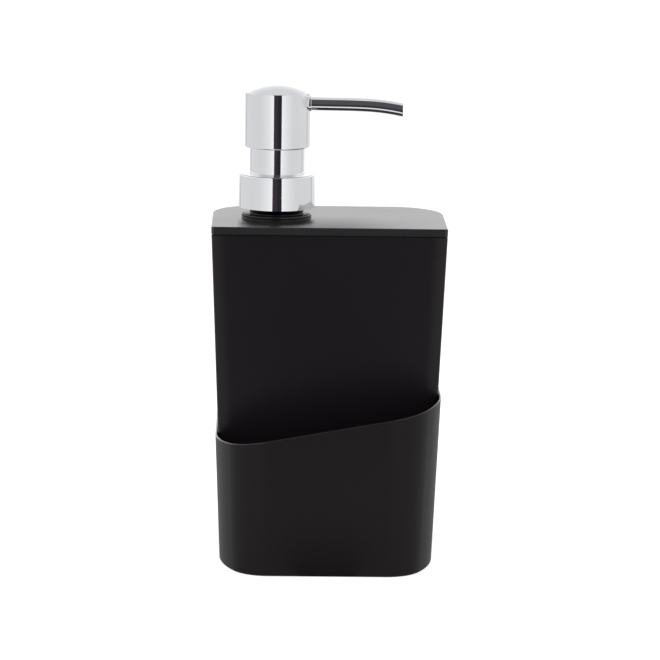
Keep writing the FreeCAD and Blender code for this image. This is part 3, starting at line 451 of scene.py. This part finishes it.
def buildPillow():
    group, out = newGroup("edgePillow", (), ("Height",))
    place = group.nodes.new("ShaderNodeTexCoord")
    parts = group.nodes.new("ShaderNodeSeparateXYZ")
    side = addMath(group, "ABSOLUTE")
    width = addMath(group, "MULTIPLY_ADD", None, pillow["draft"], pillow["halfWidth"])
    inward = addMath(group, "SUBTRACT")
    share = addRange(group, 0.0, pillow["reach"], 1.0, 0.0)
    curve = addMath(group, "POWER", None, pillow["power"])
    ahead = addRange(group, *pillow["fade"], 1.0, 0.0)
    ahead.interpolation_type = "SMOOTHSTEP"
    masked = addMath(group, "MULTIPLY")
    height = addMath(group, "MULTIPLY", None, -pillow["depth"])
    link = group.links.new
    link(place.outputs["Object"], parts.inputs["Vector"])
    link(parts.outputs["X"], side.inputs[0])
    link(parts.outputs["Z"], width.inputs[0])
    link(width.outputs["Value"], inward.inputs[0])
    link(side.outputs["Value"], inward.inputs[1])
    link(inward.outputs["Value"], share.inputs["Value"])
    link(share.outputs["Result"], curve.inputs[0])
    link(parts.outputs["Y"], ahead.inputs["Value"])
    link(curve.outputs["Value"], masked.inputs[0])
    link(ahead.outputs["Result"], masked.inputs[1])
    link(masked.outputs["Value"], height.inputs[0])
    link(height.outputs["Value"], out.inputs["Height"])
    return group


pillowGroup = buildPillow()

# The lid's top, which dips softly towards the middle of its front edge
crown = {
    "start": 0.022,  # where the dip begins, towards the back, and how far forward it runs
    "run": 0.0364,
    "depth": 0.0023,
    "power": 2.0,
    "halfWidth": 0.048,
}


def buildCrown():
    group, out = newGroup("lidCrown", (), ("Height",))
    place = group.nodes.new("ShaderNodeTexCoord")
    parts = group.nodes.new("ShaderNodeSeparateXYZ")
    forward = addRange(group, crown["start"], crown["start"] - crown["run"])
    dip = addMath(group, "POWER", None, crown["power"])
    side = addMath(group, "ABSOLUTE")
    middle = addRange(group, 0.0, crown["halfWidth"], 1.0, 0.0)
    middle.interpolation_type = "SMOOTHSTEP"
    masked = addMath(group, "MULTIPLY")
    height = addMath(group, "MULTIPLY", None, -crown["depth"])
    link = group.links.new
    link(place.outputs["Object"], parts.inputs["Vector"])
    link(parts.outputs["Y"], forward.inputs["Value"])
    link(forward.outputs["Result"], dip.inputs[0])
    link(parts.outputs["X"], side.inputs[0])
    link(side.outputs["Value"], middle.inputs["Value"])
    link(dip.outputs["Value"], masked.inputs[0])
    link(middle.outputs["Result"], masked.inputs[1])
    link(masked.outputs["Value"], height.inputs[0])
    link(height.outputs["Value"], out.inputs["Height"])
    return group


crownGroup = buildCrown()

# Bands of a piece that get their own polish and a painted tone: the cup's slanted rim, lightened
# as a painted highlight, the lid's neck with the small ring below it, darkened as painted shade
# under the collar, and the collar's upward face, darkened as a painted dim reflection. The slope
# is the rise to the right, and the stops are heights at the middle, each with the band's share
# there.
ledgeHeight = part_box("collar_shell")[1][2]
bands = {
    "rim": {"slope": 0.18282, "stops": ((0.0642, 0.0), (0.0646, 1.0))},
    # where shade is painted on the lid: partly on the small ring's side, fully on the neck under
    # the collar
    "neckShade": {
        "slope": 0.0,
        "stops": (
            (0.1470, 0.0),
            (0.1473, 0.0),
            (0.1475, 0.7),
            (0.1480, 0.7),
            (0.1483, 0.0),
            (0.1490, 0.0),
            (0.1492, 1.0),
        ),
    },
    "ledge": {"slope": 0.0, "stops": ((ledgeHeight - 0.0003, 0.0), (ledgeHeight - 0.0001, 1.0))},
}


def buildBand(name, slope, stops):
    group, out = newGroup(name, (), ("Share",))
    low, high = stops[0][0], stops[-1][0]
    length = high - low
    place = group.nodes.new("ShaderNodeTexCoord")
    level = addVector(group, "DOT_PRODUCT", (-slope, 0.0, 1.0))
    part = addRange(group, low, high)
    share = addRamp(group, [((height - low) / length, value) for height, value in stops])
    link = group.links.new
    link(place.outputs["Object"], level.inputs[0])
    link(level.outputs["Value"], part.inputs["Value"])
    link(part.outputs["Result"], share.inputs["Fac"])
    link(share.outputs["Color"], out.inputs["Share"])
    return group


bandGroups = {name: buildBand(name + "Band", **band) for name, band in bands.items()}


def buildFinish(name, look):
    finish = bpy.data.materials.new(name)
    finish.use_nodes = True
    tree = finish.node_tree
    tree.nodes.clear()
    output = tree.nodes.new("ShaderNodeOutputMaterial")
    shader = tree.nodes.new("ShaderNodeBsdfPrincipled")
    for label in ("Metallic", "IOR", "Specular IOR Level", "Coat Roughness"):
        if label in look:
            shader.inputs[label].default_value = look[label]
    surface = tree.nodes.new("ShaderNodeGroup")
    surface.node_tree = grainGroup
    for label in grain["inputs"]:
        surface.inputs[label].default_value = look[label]
    tone = addMix(tree, look["dark"], look["light"])
    cloud = tree.nodes.new("ShaderNodeTexNoise")
    cloud.inputs["Scale"].default_value = look["toneScale"]
    place = tree.nodes.new("ShaderNodeTexCoord")
    bump = tree.nodes.new("ShaderNodeBump")
    bump.inputs["Strength"].default_value = look["bump"]
    bump.inputs["Distance"].default_value = look["bumpDepth"]
    link = tree.links.new
    link(place.outputs["Object"], cloud.inputs["Vector"])
    link(cloud.outputs["Fac"], tone.inputs["Factor"])
    color = tone.outputs["Result"]
    roughness = surface.outputs["Roughness"]
    if "band" in look:
        band = tree.nodes.new("ShaderNodeGroup")
        band.node_tree = bandGroups[look["band"]]
        share = band.outputs["Share"]
        # The band's tone paints light and shade in place of the base colour: a highlight on the
        # cup's rim, shade on the lid's neck, a dim reflection on the collar's ledge
        bandPaintedShading = addMix(tree, None, look["bandPaintedShading"])
        polish = addRange(tree, 0.0, 1.0, 1.0, look["bandPolish"])
        rough = addMath(tree, "MULTIPLY")
        link(share, bandPaintedShading.inputs["Factor"])
        link(color, bandPaintedShading.inputs["A"])
        link(share, polish.inputs["Value"])
        link(roughness, rough.inputs[0])
        link(polish.outputs["Result"], rough.inputs[1])
        color = bandPaintedShading.outputs["Result"]
        roughness = rough.outputs["Value"]
        for label, level in look.get("bandLevels", {}).items():
            rise = addMath(tree, "MULTIPLY", None, level)
            link(share, rise.inputs[0])
            link(rise.outputs["Value"], shader.inputs[label])
    link(color, shader.inputs["Base Color"])
    link(roughness, shader.inputs["Roughness"])
    link(surface.outputs["Height"], bump.inputs["Height"])
    link(bump.outputs["Normal"], shader.inputs["Normal"])
    link(shader.outputs["BSDF"], output.inputs["Surface"])
    if "shape" in look:
        form = tree.nodes.new("ShaderNodeGroup")
        form.node_tree = look["shape"]
        bend = tree.nodes.new("ShaderNodeBump")
        bend.inputs["Distance"].default_value = 1.0  # the shape's height is in metres
        link(form.outputs["Height"], bend.inputs["Height"])
        link(bend.outputs["Normal"], bump.inputs["Normal"])
    return finish


chromePlate = {
    "dark": (0.80, 0.81, 0.83, 1), "light": (0.85, 0.86, 0.885, 1), "toneScale": 30.0,
    "Metallic": 1.0, "Roughness": 0.055, "Variation": 0.03,
    "Grain Scale": 900.0, "Cloud Scale": 45.0, "bump": 0.01, "bumpDepth": 0.0001,
}

# The finishes. Each base colour drifts between dark and light in clouds of the tone scale. Labels
# with capitals are the shader's or the grain's own, and band levels are what a band adds to the
# shader's.
looks = {
    "cupPlastic": {
        "dark": (0.0100, 0.0082, 0.0086, 1), "light": (0.0118, 0.0098, 0.0102, 1),
        "toneScale": 22.0,
        "IOR": 1.45, "Specular IOR Level": 0.15, "Roughness": 0.42, "Variation": 0.05,
        "Grain Scale": 3800.0, "Cloud Scale": 35.0, "bump": 0.08, "bumpDepth": 0.0001,
        # The rim band's lighter tone is a painted highlight along the rim, beside its real polish
        # and coat
        "band": "rim", "bandPaintedShading": (0.016, 0.015, 0.015, 1), "bandPolish": 0.45,
        "bandLevels": {"Coat Weight": 0.55}, "Coat Roughness": 0.19,
    },
    "bottlePlastic": {
        "dark": (0.0102, 0.0080, 0.0098, 1), "light": (0.0120, 0.0096, 0.0116, 1),
        "toneScale": 18.0,
        "IOR": 1.45, "Specular IOR Level": 0.30, "Roughness": 0.30, "Variation": 0.04,
        "Grain Scale": 4200.0, "Cloud Scale": 25.0, "bump": 0.05, "bumpDepth": 0.0001,
        "shape": pillowGroup,
    },
    "lidPlastic": {
        "dark": (0.0200, 0.0180, 0.0200, 1), "light": (0.0235, 0.0215, 0.0235, 1),
        "toneScale": 18.0,
        "IOR": 1.5, "Specular IOR Level": 0.5, "Roughness": 0.25, "Variation": 0.05,
        "Grain Scale": 4200.0, "Cloud Scale": 30.0, "bump": 0.04, "bumpDepth": 0.0001,
        "shape": crownGroup,
        # The neck band's dark tone is painted shade, the deep shadow under the collar and on the
        # small ring's side
        "band": "neckShade", "bandPaintedShading": (0.0050, 0.0046, 0.0050, 1), "bandPolish": 2.0,
        "bandLevels": {"Metallic": 1.0},  # so that it mirrors no more than the band's painted dark shade
    },
    "sealRubber": {
        "dark": (0.004, 0.004, 0.004, 1), "light": (0.006, 0.006, 0.006, 1), "toneScale": 40.0,
        "IOR": 1.5, "Specular IOR Level": 0.2, "Roughness": 0.75, "Variation": 0.1,
        "Grain Scale": 2500.0, "Cloud Scale": 60.0, "bump": 0.2, "bumpDepth": 0.0001,
    },
    "padRubber": {
        "dark": (0.010, 0.010, 0.010, 1), "light": (0.016, 0.016, 0.016, 1), "toneScale": 30.0,
        "IOR": 1.5, "Specular IOR Level": 0.25, "Roughness": 0.8, "Variation": 0.1,
        "Grain Scale": 1800.0, "Cloud Scale": 50.0, "bump": 0.35, "bumpDepth": 0.0002,
    },
    "closurePlastic": {
        "dark": (0.010, 0.010, 0.010, 1), "light": (0.014, 0.014, 0.014, 1), "toneScale": 40.0,
        "IOR": 1.5, "Specular IOR Level": 0.4, "Roughness": 0.4, "Variation": 0.06,
        "Grain Scale": 3000.0, "Cloud Scale": 60.0, "bump": 0.1, "bumpDepth": 0.0001,
    },
    "pumpPlastic": {
        "dark": (0.74, 0.74, 0.72, 1), "light": (0.80, 0.80, 0.78, 1), "toneScale": 60.0,
        "IOR": 1.5, "Specular IOR Level": 0.5, "Roughness": 0.35, "Variation": 0.08,
        "Grain Scale": 3000.0, "Cloud Scale": 80.0, "bump": 0.08, "bumpDepth": 0.0001,
    },
    "tubePlastic": {
        "dark": (0.66, 0.66, 0.63, 1), "light": (0.72, 0.72, 0.69, 1), "toneScale": 60.0,
        "IOR": 1.5, "Specular IOR Level": 0.5, "Roughness": 0.28, "Variation": 0.06,
        "Grain Scale": 2500.0, "Cloud Scale": 50.0, "bump": 0.05, "bumpDepth": 0.0001,
    },
    "chromePlate": chromePlate,
    "chromeLedge": {
        **chromePlate,
        # The ledge band's darker tone is a painted dim reflection on the collar's upward face,
        # beside its rougher polish
        "band": "ledge", "bandPaintedShading": (0.46, 0.47, 0.49, 1), "bandPolish": 1.8,
    },
    "polishedSteel": {
        "dark": (0.56, 0.56, 0.56, 1), "light": (0.64, 0.64, 0.63, 1), "toneScale": 80.0,
        "Metallic": 1.0, "Roughness": 0.22, "Variation": 0.08,
        "Grain Scale": 2500.0, "Cloud Scale": 120.0, "bump": 0.05, "bumpDepth": 0.0001,
    },
}
finishes = {name: buildFinish(name, look) for name, look in looks.items()}

# Which pieces wear each finish
wornBy = {
    "cupPlastic": ("caddy_cup",),
    "padRubber": ("base_pad",),
    "bottlePlastic": ("bottle_body",),
    "lidPlastic": ("bottle_lid",),
    "sealRubber": ("lid_seal", "neck_gasket"),
    "closurePlastic": ("closure_insert",),
    "pumpPlastic": (
        "pump_housing",
        "housing_cap",
        "ball_cage",
        "stem",
        "stem_foot",
        "head_core",
        "piston",
    ),
    "tubePlastic": ("dip_tube",),
    "chromeLedge": ("collar_shell",),
    "chromePlate": ("guide_sleeve", "head_shell", "spout_ferrule", "spout_tube"),
    "polishedSteel": ("return_spring", "inlet_ball", "outlet_ball"),
}
for name, worn in wornBy.items():
    for node in worn:
        nodes[node].data.materials.clear()
        nodes[node].data.materials.append(finishes[name])
print("finishes given:", len(finishes))
